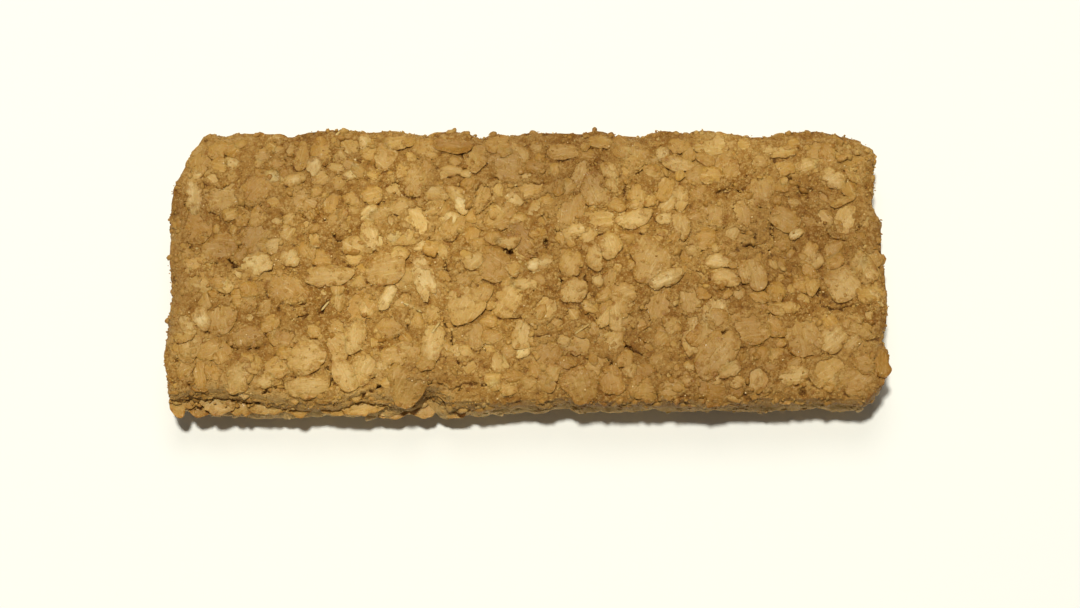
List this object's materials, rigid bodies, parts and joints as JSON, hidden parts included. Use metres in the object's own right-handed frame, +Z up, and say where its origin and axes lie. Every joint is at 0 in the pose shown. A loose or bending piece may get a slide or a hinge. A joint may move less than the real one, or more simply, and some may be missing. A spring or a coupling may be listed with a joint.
{
  "type": "granola bar",
  "caption": "Flat oblong crunchy oat bar: a pressed, baked slab of rolled oat flakes in syrup, with a crumbly worn outline and a flat underside.",
  "frame": {"origin": "on the surface the bar rests on, under the middle of its box", "axes": "+X along the bar's length, +Y across its width towards the edge with the chamfered corner, +Z up through its thickness"},
  "size_m": [0.092, 0.0378, 0.0095],
  "materials": {
    "baked_oats": "dry, rough, baked oat and syrup surface with a slight sugar glaze"
  },
  "bodies": {
    "root": {"granola_bar": "baked_oats"}
  },
  "joints": []
}
